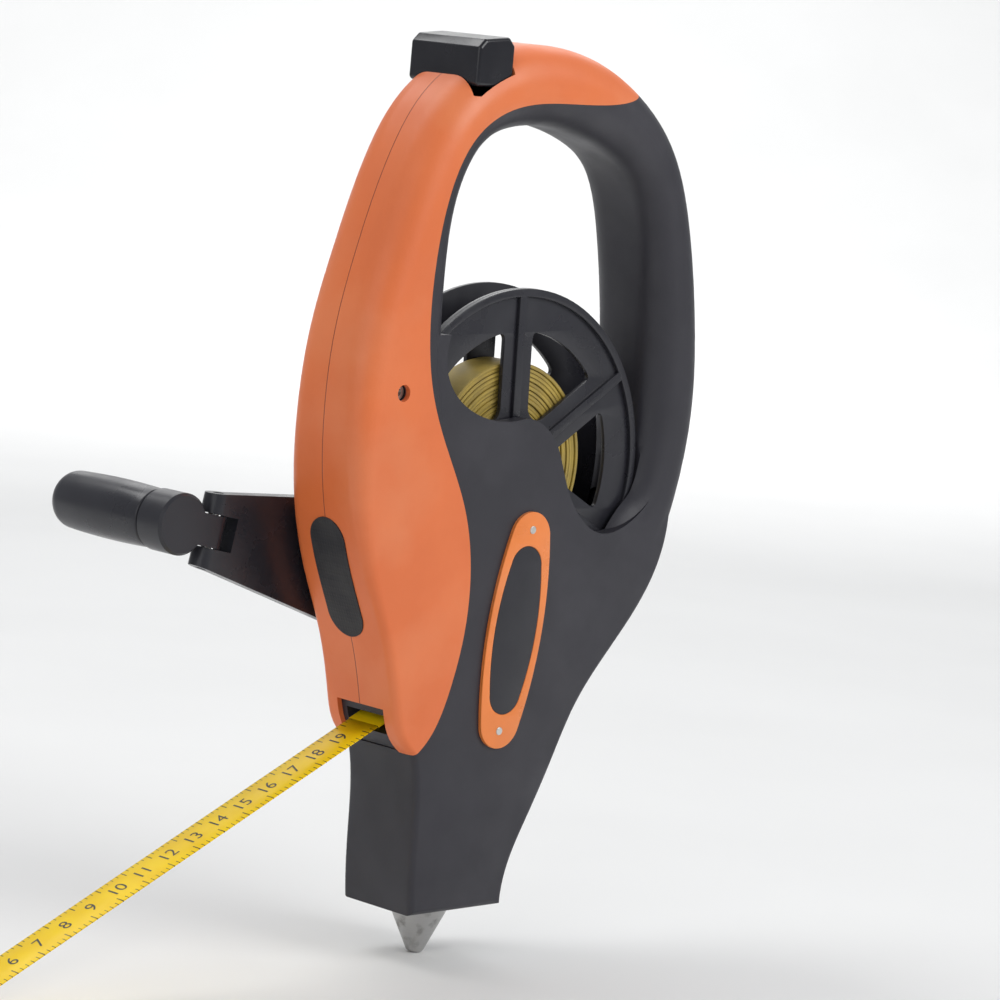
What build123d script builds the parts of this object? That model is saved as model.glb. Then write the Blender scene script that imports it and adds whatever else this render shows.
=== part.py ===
from build123d import *
import math
import os

# Surveyor's tape reel, millimetres.
# +Z is up, -X is the front where the tape leaves, +Y is the crank side.
# The origin is on the spike's axis, in the plane of the leg's sole.

# ---- body ----
plate_half = 15.0        # half of the body's thickness at its side plates
limb_half = 16.0         # half of the thickness of the front limb, handle and rear arm
plate_wall = 2.6         # thickness of a side plate and of the leg's walls
guard_wall = 1.8         # thickness of the orange guard
limb_wall = 1.8          # thickness of the frame's wall under the guard
skin_gap = 0.05          # between the guard and the frame under it
pad_seat = 0.3           # adhesive between the pad's back and the body
bush_seat = 0.1          # between the bush and the plate it is pressed in
limb_corner = 10.5       # corner radius of the handle's section
foot_corner = 3.0        # corner radius of the guard's section near the mouth
leg_corner = 2.0         # corner radius of the leg's upright edges

# ---- spool ----
spool_x = 14.0
spool_z = 135.0
spool_radius = 54.5
spool_room = 1.5         # radial gap round the spool
flange_wall = 1.6
tape_width = 13.0
coil_room = 0.5          # side play of the tape between the flanges
core_radius = 12.0
coil_radius = 32.0
window_inner = 15.0
window_outer = 43.5
spoke_count = 6
spoke_width = 7.0
spoke_turn = 32.0        # angle of the first spoke above +X, in degrees
rib_width = 3.0
rib_height = 1.2
rim_width = 2.5
axle_radius = 4.0
running_gap = 0.05       # radial gap of a shaft in its bore

# ---- gears ----
tooth_module = 1.25
drive_teeth = 48
pinion_teeth = 16
gear_width = 2.6
tooth_play = 0.12        # taken from each tooth's thickness
gear_gap = 0.5           # between the far flange and the drive gear

# ---- crank ----
hub_radius = 25.0
hub_width = 8.0
arm_width = 8.0
arm_gap = 2.0            # between the body and the arm
arm_tip = 9.2            # half width of the arm at the grip
crank_throw = 108.0      # from the crank's axis to the grip's axis
crank_lean = 11.5        # the arm points forward and this much up, in degrees
sleeve_radius = 7.0
bush_wall = 1.6
fold_offset = 14.0       # from the hinge pin to the grip's axis
ear_width = 4.0
hinge_radius = 1.6
tongue_gap = 0.3
tongue_half = 4.8
tongue_reach = 6.5
pin_reach = 8.6
screw_radius = 2.0
square_side = 9.6
square_length = 4.0
cap_radius = 6.0
cap_depth = 3.6
pad_radius = 19.0        # raised round pad on the far plate, under the crank's hub
post_radius = 4.0
grip_radius = 8.75
grip_length = 48.0
grip_dome = 6.0

# ---- tape ----
tape_thick = 0.45
roller_radius = 4.0
pin_radius = 1.5
tape_slope = 24.8        # degrees below level, outside the mouth

roller_half = 7.3
pin_half = 13.2
clamp_width = 15.0
clamp_height = 3.6
clamp_grip = 10.0
ring_wire = 1.2
ring_length = 18.0
ground_run = 34.0        # length of tape that lies on the ground before its clamp
mouth_height = 6.5
notch_width = 20.0
roller_gap = 0.1         # between the roller and the tape
coil_gap = 0.3           # between the coil and the tape that leaves it
mouth_x = -30.0          # the mouth, where the tape crosses the guard's face
mouth_z = 57.5
guide_back = 14.0        # from the mouth back to the bend round the roller

# ---- thumb lock ----
button_half = 14.6
button_room = 0.35
pocket_room = 0.7        # between the button and the body round it
button_travel = 2.5
rod_wall = 2.2
rod_half = 3.0
pad_turn = 144.0         # where the pad faces the spool's rim, in degrees above +X
pad_gap = 2.1
pad_wall = 3.0
spring_x = -13.0
spring_foot = 240.0
spring_radius = 2.6
spring_wire = 0.45
spring_turns = 3.5

# ---- badge and front pad ----
badge_x = 15.0
badge_z = 86.0
badge_lean = 6.3
badge_wall = 1.2
inlay_depth = 0.5
badge_pin_at = 31.0
badge_pin_radius = 1.3
pad_low = (-38.5, 84.0)
pad_high = (-52.5, 121.0)
pad_length = 39.0
pad_width = 14.5
pad_proud = 0.4

# ---- fasteners ----
boss_radius = 3.4
boss_places = [(46.0, 244.5), (79.0, 177.0), (75.0, 121.0), (48.0, 79.0), (16.0, 36.0), (-40.0, 103.0)]
front_screw_at = (-41.0, 159.0)
pilot_radius = 1.25
head_radius = 2.2
head_height = 1.5
screw_seat = 12.4
front_seat = 12.0
fit_gap = 0.05

# ---- spike ----
spike_radius = 9.8
spike_length = 16.0
spike_tip = 2.0
shank_radius = 5.0
spike_seat = 0.6         # the cone's base is let into the sole
shank_length = 22.0
collar_radius = 8.0
collar_height = 4.0
collar_start = 8.0

# ---- derived places ----
flange_in = tape_width / 2 + coil_room
flange_out = flange_in + flange_wall
cavity_half = plate_half - plate_wall - 0.1
slot_half = cavity_half - 1.9
limb_inset = guard_wall + limb_wall
gear_spread = tooth_module * (drive_teeth + pinion_teeth) / 2
crank_x = spool_x
crank_z = spool_z - gear_spread
gear_low = flange_out + gear_gap
gear_high = gear_low + gear_width
arm_low = limb_half + arm_gap
arm_high = arm_low + arm_width
crank_pad_high = plate_half + 1.8
base_high = arm_high + 3.0
post_length = 38.0
axle_half = plate_half - 0.8

# Stations of the limb that makes the front, the handle and the rear arm:
# outer point, inner point, half thickness, corner radius.
limb_stations = [
    ((-24.0, 50.0), (0.0, 50.0), limb_half, foot_corner),
    ((-32.5, 64.0), (0.0, 64.0), limb_half, foot_corner),
    ((-38.0, 83.0), (0.0, 83.0), limb_half, foot_corner),
    ((-47.0, 103.0), (0.0, 103.0), limb_half, foot_corner + 0.5),
    ((-54.0, 124.0), (-6.0, 125.0), limb_half, foot_corner + 2.0),
    ((-57.0, 148.0), (-18.0, 149.0), limb_half, limb_corner - 3.5),
    ((-56.0, 173.0), (-22.5, 172.0), limb_half, limb_corner - 1.5),
    ((-50.0, 199.0), (-22.5, 196.0), limb_half, limb_corner),
    ((-40.0, 227.0), (-20.0, 217.0), limb_half, limb_corner),
    ((-26.0, 248.0), (-12.0, 231.0), limb_half, limb_corner),
    ((-4.0, 260.0), (1.0, 237.0), limb_half, limb_corner),
    ((20.0, 262.0), (19.0, 238.0), limb_half, limb_corner),
    ((46.0, 255.0), (40.0, 233.0), limb_half, limb_corner),
    ((68.0, 238.0), (56.0, 223.0), limb_half, limb_corner - 1.5),
    ((82.0, 211.0), (64.0, 201.0), limb_half, limb_corner - 1.0),
    ((90.0, 179.0), (68.0, 175.0), limb_half, limb_corner),
    ((92.0, 149.0), (69.5, 147.0), limb_half, limb_corner),
    ((86.0, 119.0), (66.0, 127.0), limb_half - 0.4, limb_corner - 1.5),
    ((72.0, 93.0), (52.0, 109.0), plate_half - 0.4, limb_corner - 2.5),
]


def slab(outline, y_low, y_high):
    """A face drawn in X and Z, as a solid from y_low to y_high."""
    return extrude(Plane.XZ.offset(-y_high) * outline, amount=y_high - y_low)


def disc(x, z, radius, y_low, y_high):
    return slab(Pos(x, z) * Circle(radius), y_low, y_high)


def ring(x, z, outer, inner, y_low, y_high):
    return slab(Pos(x, z) * (Circle(outer) - Circle(inner)), y_low, y_high)


def limb_section(outer, inner, half, corner, inset):
    """One section of the limb, drawn in from its outside by inset."""
    centre = Vector((outer[0] + inner[0]) / 2, 0, (outer[1] + inner[1]) / 2)
    across = Vector(outer[0] - inner[0], 0, outer[1] - inner[1])
    plane = Plane(origin=centre, x_dir=across, z_dir=across.cross(Vector(0, 1, 0)))
    return plane * RectangleRounded(
        across.length - 2 * inset, 2 * (half - inset), max(corner - inset, 0.8)
    )


def limb(inset, first=0):
    """The solid limb drawn in by inset all round, from the given station on."""
    return loft([limb_section(*station, inset) for station in limb_stations[first:]])


def profile(points):
    """A closed face whose outline is a list of lines, arcs and splines through points.

    Each item is a list of points: two make a line, more make a smooth curve.
    """
    edges = [Line(*run) if len(run) == 2 else Spline(*run) for run in points]
    return make_face(edges)


def guard_region():
    """The side view of the orange guard, well past the limb's outside."""
    rear = [
        (-24.0, 49.5), (-17.0, 56.0), (-11.0, 69.0), (-7.0, 86.0), (-6.5, 103.0),
        (-11.0, 123.0), (-21.0, 142.0), (-29.0, 159.0), (-32.5, 177.0), (-32.5, 197.0),
        (-29.0, 217.0), (-21.0, 233.0), (-8.0, 242.0), (12.0, 245.5), (34.0, 246.0),
        (56.0, 251.0),
    ]
    return profile([
        rear,
        [rear[-1], (60.0, 290.0)],
        [(60.0, 290.0), (-90.0, 290.0)],
        [(-90.0, 290.0), (-90.0, 30.0)],
        [(-90.0, 30.0), (-30.0, 30.0)],
        [(-30.0, 30.0), rear[0]],
    ])


def plate_outline():
    """The side view of the housing and the leg, up to the hub's boss."""
    foot = (-18.0, 0.0)
    heel = (21.0, 0.0)
    front = [foot, (-19.5, 22.0), (-21.5, 45.0), (-29.0, 65.0), (-39.0, 92.0), (-48.0, 120.0),
             (-51.0, 150.0), (-48.0, 176.0)]
    arm_edge = [(-48.0, 176.0), (-22.5, 176.0)]
    shoulder = [(-22.5, 176.0), (-20.0, 160.0), (-8.0, 152.0), (spool_x - 3.0, 150.5)]
    brow = [(spool_x - 3.0, 150.5), (20.5, 148.5), (27.0, 142.5), (31.5, 133.0), (39.0, 121.0),
            (50.0, 114.5), (62.0, 117.0), (73.0, 127.0)]
    arm_end = [(73.0, 127.0), (82.0, 118.0)]
    rear = [(82.0, 118.0), (72.0, 91.5), (58.0, 75.0), (47.0, 61.0), (38.0, 43.0), (30.0, 27.0),
            (24.0, 15.0), heel]
    return profile([front, arm_edge, shoulder, brow, arm_end, rear, [heel, foot]])


def gear_face(teeth, play):
    """An involute spur gear, with a tooth on the local x axis."""
    pitch = tooth_module * teeth / 2
    base = pitch * math.cos(math.radians(20))
    tip = pitch + tooth_module
    root = pitch - 1.2 * tooth_module
    half_tooth = (math.pi * tooth_module / 2 - play) / 2 / pitch
    lean = math.tan(math.radians(20)) - math.radians(20)
    flank = []
    for step in range(4):
        radius = max(base, root) + (tip - max(base, root)) * step / 3
        roll = math.acos(min(1.0, base / radius))
        flank.append((radius, half_tooth + lean - (math.tan(roll) - roll)))
    points = []
    for tooth in range(teeth):
        middle = 2 * math.pi * tooth / teeth
        side = [(root, -flank[0][1] - 0.01)] + [(r, -a) for r, a in flank]
        side += [(r, a) for r, a in reversed(flank)] + [(root, flank[0][1] + 0.01)]
        points += [(r * math.cos(middle + a), r * math.sin(middle + a)) for r, a in side]
    return make_face(Polyline(*points, close=True))


def lens(half_length, half_width, end_width, end_start):
    """An oval with round ends and gently bowed sides, long along the local y axis."""
    low, high = -end_start, end_start
    return make_face([
        ThreePointArc((-end_width, high), (0, half_length), (end_width, high)),
        ThreePointArc((end_width, high), (half_width, 0), (end_width, low)),
        ThreePointArc((end_width, low), (0, -half_length), (-end_width, low)),
        ThreePointArc((-end_width, low), (-half_width, 0), (-end_width, high)),
    ])


def tape_points():
    """The tape's line inside the body, as points in X and Z.

    It leaves the coil, touches the roller on its far side, bends round it and leaves the mouth.
    """
    slope = math.radians(tape_slope)
    down = (-math.cos(slope), -math.sin(slope))
    up = (-math.sin(slope), math.cos(slope))
    reach = roller_radius + tape_thick / 2 + roller_gap
    bend_end = (mouth_x - guide_back * down[0], mouth_z - guide_back * down[1])
    roller = (bend_end[0] + reach * up[0], bend_end[1] + reach * up[1])
    around = coil_radius + tape_thick / 2 + coil_gap
    away = (roller[0] - spool_x, roller[1] - spool_z)
    heading = math.atan2(away[1], away[0]) + math.asin((around + reach) / math.hypot(*away))
    side = (math.sin(heading), -math.cos(heading))
    start = (spool_x + around * side[0], spool_z + around * side[1])
    bend_start = (roller[0] - reach * side[0], roller[1] - reach * side[1])
    turn = (heading + slope) / 2
    bend_middle = (roller[0] + reach * math.cos(turn), roller[1] + reach * math.sin(turn))
    return start, bend_start, bend_middle, bend_end, roller


# ---------------------------------------------------------------- frame and guard

def leg_block():
    """The housing's side view at full thickness, with its outer edges rounded."""
    block = slab(plate_outline(), -plate_half, plate_half)
    loose = [
        edge for edge in block.edges()
        if abs(abs(edge.center().Y) - plate_half) < 0.01
        and (edge.center().X > 40.0 or edge.center().Z < 1.0 or edge.center().X < -36.0)
        and edge.center().Z < 115.0
    ]
    return fillet(loose, leg_corner)


def strip_region():
    """The side view of the limb that stays with the frame: handle, rear arm and inner edge."""
    return make_face(Polyline(
        (-40.0, 150.0), (-24.0, 150.0), (-12.0, 166.0), (10.0, 200.0), (30.0, 90.0),
        (120.0, 60.0), (120.0, 300.0), (-40.0, 300.0), close=True,
    ))


def cavity():
    """The hollow inside the frame."""
    housing = slab(redrawn(offset(plate_outline(), amount=-plate_wall)), -cavity_half, cavity_half)
    return limb(limb_inset, first=1) + housing


def redrawn(face):
    """The same face with each offset curve drawn again as a plain curve through points on it."""
    edges = []
    for edge in face.edges():
        steps = max(2, round(edge.length / 5.0))
        through = [edge @ (step / steps) for step in range(steps + 1)]
        edges.append(edge if edge.geom_type == GeomType.LINE else Spline(*through))
    return make_face(edges)


def posts(places, radius, y_low, y_high):
    """One round post at each place, as one shape."""
    solid = disc(*places[0], radius, y_low, y_high)
    for place in places[1:]:
        solid += disc(*place, radius, y_low, y_high)
    return solid


def mouth_channel():
    """The way for the tape from the roller to the outside."""
    channel = Box(36.0, tape_width + 3.0, mouth_height)
    return Pos(mouth_x, 0, mouth_z) * Rot(0, -tape_slope, 0) * Pos(-4.0, 0, 0) * channel


def spike_socket():
    """The room for the spike's shank, collar and the edge of its cone."""
    shank = extrude(Circle(shank_radius + fit_gap), amount=shank_length + fit_gap)
    collar = Pos(0, 0, collar_start - fit_gap) * extrude(
        Circle(collar_radius + fit_gap), amount=collar_height + 2 * fit_gap
    )
    seat = Pos(0, 0, -spike_seat) * extrude(
        Circle(spike_radius + fit_gap), amount=2 * spike_seat + fit_gap
    )
    return shank + collar + seat


def axle_sockets():
    """Blind holes for the spool's axle and the roller's pin in the side plates."""
    axle = disc(spool_x, spool_z, axle_radius + fit_gap, -axle_half - fit_gap, axle_half + fit_gap)
    x, z = roller_place()
    return axle + disc(x, z, pin_radius + fit_gap, -pin_half - fit_gap, pin_half + fit_gap)


def screw_holes():
    """Pilot holes on the near side, clearance holes and head pockets on the far side."""
    pilots = posts(boss_places, pilot_radius, -cavity_half, 0.0)
    holes = posts(boss_places, pilot_radius + 0.4, 0.0, limb_half * 2)
    pockets = posts(boss_places, head_radius + 0.3, screw_seat, limb_half * 2)
    front = disc(*front_screw_at, pilot_radius, -cavity_half, cavity_half - 2.0)
    recess = disc(*front_screw_at, head_radius + 0.3, -limb_half * 2, -front_seat)
    return pilots + holes + pockets + front + recess


def button_block(room):
    """The thumb button's outside, grown by room, and down to its lowest place in its pocket."""
    outline = make_face(Polyline(
        (-21.0, 249.0), (-21.0, 260.5), (-18.5, 263.0), (-8.5, 264.0), (-6.0, 261.5),
        (-6.0, 253.0), (-9.5, 249.0), close=True,
    ))
    block = slab(fillet(outline.vertices(), 1.4), -button_half, button_half)
    if room:
        grown = slab(offset(outline, amount=room), -button_half - room, button_half + room)
        return grown + Pos(0, 0, -button_travel) * grown
    edges = [edge for edge in block.edges() if abs(abs(edge.center().Y) - button_half) < 0.01]
    return fillet(edges, 1.2)


def rod_bar(room):
    """The lock's rod from the button down to its pad, grown by room."""
    top, low = (-19.5, 250.0), (-33.0, 170.0)
    half = rod_wall / 2 + room
    side = make_face(Polyline(
        (top[0] - half, top[1]), (top[0] + half, top[1]), (low[0] + half, low[1] - room),
        (low[0] - half, low[1] - room), close=True,
    ))
    return slab(side, -rod_half - room, rod_half + room)


def pad_block():
    """The lock's pad, a short arc that faces the spool's rim."""
    inner = spool_radius + pad_gap
    arc = Pos(spool_x, spool_z) * (Circle(inner + pad_wall) - Circle(inner))
    wedge = make_face(Polyline(
        (spool_x, spool_z),
        *[(spool_x + 90 * math.cos(math.radians(a)), spool_z + 90 * math.sin(math.radians(a)))
          for a in (pad_turn - 5.0, pad_turn + 5.0)], close=True,
    ))
    return slab(arc & wedge, -slot_half + 0.5, slot_half - 0.5)


def pad_prism(grow):
    """The front pad's outline, driven through the guard's front face."""
    slot = SlotOverall(pad_length + 2 * grow, pad_width + 2 * grow)
    along = Vector(pad_high[0] - pad_low[0], 0, pad_high[1] - pad_low[1])
    middle = Vector((pad_high[0] + pad_low[0]) / 2, 0, (pad_high[1] + pad_low[1]) / 2)
    plane = Plane(origin=middle, x_dir=along, z_dir=along.cross(Vector(0, 1, 0)))
    return extrude(plane * slot, amount=8.0, both=True)


def guard_shell():
    shell = (limb(0) - limb(guard_wall)) & slab(guard_region(), -limb_half * 2, limb_half * 2)
    shell -= pad_prism(fit_gap)
    shell -= Pos(mouth_x - 6.0, 0, mouth_z - 12.0) * Box(40.0, notch_width, 36.0)
    shell -= button_block(button_room)
    shell -= disc(*front_screw_at, head_radius + 0.3, -limb_half * 2, 0.0)
    return shell


def frame_shell():
    region = slab(guard_region(), -limb_half * 2, limb_half * 2)
    strip = limb(0) & slab(strip_region(), -limb_half * 2, limb_half * 2)
    outside = leg_block() + strip - region + (limb(guard_wall + skin_gap) & region)
    places = [*boss_places, front_screw_at]
    inside = cavity() - posts(places, boss_radius, -limb_half, limb_half)
    inside -= extrude(Circle(collar_radius + 3.0), amount=shank_length + 3.0)
    inside -= disc(spool_x, spool_z, axle_radius + 3.0, -limb_half, -flange_out - 0.6)
    shell = outside - inside
    shell += disc(crank_x, crank_z, pad_radius, plate_half - 0.5, crank_pad_high)
    shell -= disc(crank_x, crank_z, sleeve_radius + running_gap + bush_wall, 0.0, limb_half * 2)
    shell -= disc(spool_x, spool_z, spool_radius + spool_room, -slot_half, slot_half)
    shell -= mouth_channel() + spike_socket() + axle_sockets()
    shell -= screw_holes()
    shell -= button_block(pocket_room)
    shell -= rod_bar(0.5) + Pos(0, 0, -button_travel) * rod_bar(0.5)
    return shell


def near_half(solid):
    return solid & Pos(0, -100, 150) * Box(600, 200, 600)


def far_half(solid):
    return solid & Pos(0, 100, 150) * Box(600, 200, 600)


# ---------------------------------------------------------------- badge, pad, lock

def place_badge(solid):
    """From the badge's own frame, long along Y with its face along +Z, to the near plate."""
    plane = Plane(origin=(badge_x, -plate_half, badge_z), x_dir=(1, 0, 0), z_dir=(0, -1, 0))
    return plane * Rot(0, 0, -badge_lean) * solid


def badge_plate():
    plate = extrude(lens(36.5, 12.5, 8.6, 30.0), amount=badge_wall)
    rim = plate.edges().sort_by(Axis.Z)[-4:]
    plate = chamfer(rim, 0.4)
    plate -= Pos(0, 0, badge_wall - inlay_depth) * extrude(lens(25.0, 7.0, 4.9, 20.4), amount=5.0)
    for end in (-1, 1):
        plate -= Pos(0, end * badge_pin_at, 0) * extrude(Circle(badge_pin_radius), amount=5.0)
    return place_badge(plate)


def badge_inlay():
    face = lens(25.0 - fit_gap, 7.0 - fit_gap, 4.9 - fit_gap, 20.4)
    return place_badge(Pos(0, 0, badge_wall - inlay_depth) * extrude(face, amount=inlay_depth - 0.1))


def badge_pins():
    pin = extrude(Circle(badge_pin_radius - fit_gap), amount=badge_wall + 0.3)
    pin = fillet(pin.edges().sort_by(Axis.Z)[-1:], 0.25)
    return Compound(children=[
        place_badge(Pos(0, end * badge_pin_at, 0) * pin) for end in (-1, 1)
    ])


def front_pad():
    return pad_prism(0) & (limb(-pad_proud) - limb(guard_wall + skin_gap - pad_seat))


def button_spring():
    """A short coil spring that stands between the frame's shelf and the button."""
    height = 249.0 - spring_foot - 2 * spring_wire
    coil = Helix(pitch=height / spring_turns, height=height, radius=spring_radius)
    section = Plane(origin=coil @ 0, z_dir=coil % 0) * RegularPolygon(spring_wire, 6)
    wire = sweep(section, path=coil, is_frenet=True)
    return Pos(spring_x, 0, spring_foot + spring_wire) * wire


# ---------------------------------------------------------------- spool and tape

def flange(rib):
    """One flange in its own frame, its outer face along +Z, with ribs if it has them."""
    face = Circle(spool_radius) - Circle(axle_radius + 3.0)
    window = Circle(window_outer) - Circle(window_inner)
    spokes = Sketch()
    ribs = Sketch()
    for spoke in range(spoke_count):
        turn = Rot(0, 0, spoke_turn + spoke * 360.0 / spoke_count)
        spokes += turn * Pos(window_outer / 2, 0) * Rectangle(window_outer + 2.0, spoke_width)
        ribs += turn * Pos((window_inner + window_outer) / 2, 0) * Rectangle(
            window_outer - window_inner + 2.0, rib_width)
    openings = fillet((window - spokes).vertices(), 2.0)
    disk = extrude(face - openings, amount=flange_wall)
    rim = extrude(Circle(spool_radius) - Circle(spool_radius - rim_width), amount=flange_wall + rib)
    hub = extrude(Circle(window_inner) - Circle(axle_radius + 3.0), amount=flange_wall + rib)
    if rib:
        disk += rim + hub + extrude(ribs, amount=flange_wall + rib)
    return disk


def spool_flange_near():
    plane = Plane(origin=(spool_x, -flange_in, spool_z), x_dir=(1, 0, 0), z_dir=(0, -1, 0))
    return plane * flange(rib_height)


def spool_flange_far():
    plane = Plane(origin=(spool_x, flange_in, spool_z), x_dir=(-1, 0, 0), z_dir=(0, 1, 0))
    return plane * Rot(0, 0, 180 - 2 * spoke_turn) * flange(0)


def spool_core():
    """The drum between the flanges, with a sleeve on the axle that carries both flanges."""
    drum = ring(spool_x, spool_z, core_radius, core_radius - 2.0, -flange_in, flange_in)
    sleeve = ring(spool_x, spool_z, axle_radius + 3.0, axle_radius + running_gap,
                  -flange_out, gear_low)
    webs = Sketch()
    for web in range(4):
        webs += Rot(0, 0, 45 + 90 * web) * Pos(core_radius / 2 + 2.6, 0) * Rectangle(5.0, 1.6)
    return drum + sleeve + slab(Pos(spool_x, spool_z) * webs, -flange_in, flange_in)


def spool_pinion():
    face = Rot(0, 0, 90.0 + 180.0 / pinion_teeth) * gear_face(pinion_teeth, tooth_play)
    face -= Circle(axle_radius + running_gap)
    return slab(Pos(spool_x, spool_z) * face, gear_low, gear_high)


def spool_axle():
    return disc(spool_x, spool_z, axle_radius, -axle_half, axle_half)


def tape_coil():
    return ring(spool_x, spool_z, coil_radius, core_radius, -tape_width / 2, tape_width / 2)


def tape_lead():
    """The tape's stretch inside the body, from the coil round the roller to the mouth."""
    start, bend_start, bend_middle, bend_end, roller = tape_points()
    line = [Line(start, bend_start), ThreePointArc(bend_start, bend_middle, bend_end),
            Line(bend_end, (mouth_x, mouth_z))]
    path = Plane.XZ * Wire(line)
    section = Plane(origin=path @ 0, x_dir=(0, 1, 0), z_dir=path % 0) * Rectangle(tape_width, tape_thick)
    return sweep(section, path=path)


def tape_route():
    """The free tape's points: straight from the mouth to the ground, then along it to its end."""
    level = tape_level()
    slope = math.radians(tape_slope)
    touch = mouth_x - (mouth_z - level) / math.tan(slope)
    return [(mouth_x, mouth_z), (touch, level), (touch - ground_run, level)]


def tape_level():
    """Height of the tape's middle where it lies with its clamp on the ground."""
    return -spike_length + clamp_height / 2


def tape_blade():
    points = tape_route()
    radius = 0.45 * ground_run / math.tan(math.radians(tape_slope / 2))
    print("tape blade arc radius", round(radius, 1))
    path = Plane.XZ * FilletPolyline(*points, radius=radius)
    section = Plane(origin=path @ 0, x_dir=(0, 1, 0), z_dir=path % 0) * Rectangle(tape_width, tape_thick)
    return sweep(section, path=path)


def roller_place():
    return tape_points()[4]


def guide_roller():
    x, z = roller_place()
    return ring(x, z, roller_radius, pin_radius + running_gap, -roller_half, roller_half)


def roller_pin():
    return disc(*roller_place(), pin_radius, -pin_half, pin_half)


def end_clamp():
    """The folded clip on the tape's end, with the eye that the ring turns in."""
    tail = tape_route()[-1]
    eye_x = tail[0] - 5.0
    body = Pos(tail[0] - 1.0 + clamp_grip / 2, 0, tail[1]) * Box(clamp_grip + 2.0, clamp_width, clamp_height)
    body += disc(eye_x, tail[1], clamp_height / 2, -clamp_width / 2, clamp_width / 2)
    neck = Pos((tail[0] - 2.0 + eye_x) / 2, 0, tail[1]) * Box(tail[0] - 2.0 - eye_x, clamp_width, clamp_height)
    body += neck
    body -= Pos(tail[0] + 25.0, 0, tail[1]) * Box(50.0, tape_width + 0.1, tape_thick)
    body -= disc(eye_x, tail[1], ring_wire + running_gap, -clamp_width, clamp_width)
    return body


def ring_place():
    tail = tape_route()[-1]
    return tail[0] - 5.0, tail[1]


def end_ring():
    """A closed wire loop, its near side held in the clamp's eye."""
    x, z = ring_place()
    half = clamp_width / 2 + 2.6
    outline = make_face(Polyline((0, half), (-ring_length, half * 0.8), (-ring_length, -half * 0.8),
                                 (0, -half), close=True))
    loop = Pos(x, 0, z) * fillet(outline.vertices(), 2.5).face().outer_wire()
    section = Plane(origin=loop @ 0, z_dir=loop % 0) * Circle(ring_wire)
    return sweep(section, path=loop)


# ---------------------------------------------------------------- crank

def place_crank(solid):
    """From the crank's own frame, axis along Y and arm along -X, to the body."""
    return Pos(crank_x, 0, crank_z) * Rot(0, crank_lean, 0) * solid


def drive_gear():
    face = Rot(0, 0, 90.0) * gear_face(drive_teeth, tooth_play) - Circle(screw_radius)
    wheel = slab(face, gear_low, gear_high)
    sleeve = slab(Circle(sleeve_radius) - Circle(screw_radius), gear_high, arm_low)
    square = slab(Rectangle(square_side, square_side) - Circle(screw_radius), arm_low, arm_low + square_length)
    spokes = Sketch()
    for hole in range(6):
        spokes += Rot(0, 0, 60.0 * hole) * Pos(18.0, 0) * Circle(5.5)
    wheel -= slab(spokes, gear_low, gear_high)
    return Pos(crank_x, 0, crank_z) * (wheel + sleeve + Rot(0, crank_lean, 0) * square)


def crank_bush():
    return ring(crank_x, crank_z, sleeve_radius + running_gap + bush_wall - bush_seat, sleeve_radius + running_gap,
                cavity_half, crank_pad_high)


def arm_outline():
    """The arm's side view: the hub's disc, the taper and the tip, all tangent."""
    lean = math.asin((hub_radius - arm_tip) / crank_throw)
    edge = (-math.sin(lean), math.cos(lean))
    taper = make_face(Polyline(
        (hub_radius * edge[0], hub_radius * edge[1]),
        (arm_tip * edge[0] - crank_throw, arm_tip * edge[1]),
        (arm_tip * edge[0] - crank_throw, -arm_tip * edge[1]),
        (hub_radius * edge[0], -hub_radius * edge[1]), close=True,
    ))
    return Circle(hub_radius) + taper


def hinge_x():
    return fold_offset - crank_throw


def crank_arm():
    solid = slab(arm_outline(), arm_low, arm_high)
    rims = [e for e in solid.edges() if abs(e.center().Y - arm_high) < 0.01 and e.center().X > -90.0]
    solid = fillet(rims, 2.0)
    past = Pos(hinge_x() - 50.0, (arm_low + arm_high) / 2, 0) * Box(100.0, arm_width * 2, 60.0)
    middle = (arm_low + arm_high) / 2
    ears = Pos(hinge_x(), middle, 0) * Cylinder(arm_width / 2, 60.0)
    solid = solid - past + (ears & slab(arm_outline(), arm_low - 1.0, arm_high + 1.0))
    slot = Pos(hinge_x() + tongue_reach - 50.0, middle, 0) * Box(
        100.0, arm_width * 2, 2 * (tongue_half + tongue_gap))
    solid -= slot
    solid -= Pos(hinge_x(), middle, 0) * Cylinder(hinge_radius, 60.0)
    solid -= slab(Rectangle(square_side, square_side), arm_low - 1.0, arm_low + square_length)
    solid -= slab(Circle(screw_radius), arm_low, arm_high + 1.0)
    solid -= slab(Circle(cap_radius), arm_high - cap_depth, arm_high + 1.0)
    return place_crank(solid)


def crank_screw():
    shank = slab(Circle(screw_radius), gear_low + 1.0, arm_high - cap_depth)
    head = slab(Circle(cap_radius - 1.0), arm_high - cap_depth, arm_high - 1.6)
    return place_crank(shank + head)


def crank_cap():
    """The cover pressed into the arm's recess over the screw."""
    return place_crank(slab(Circle(cap_radius), arm_high - 1.2, arm_high + 0.6))


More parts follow.
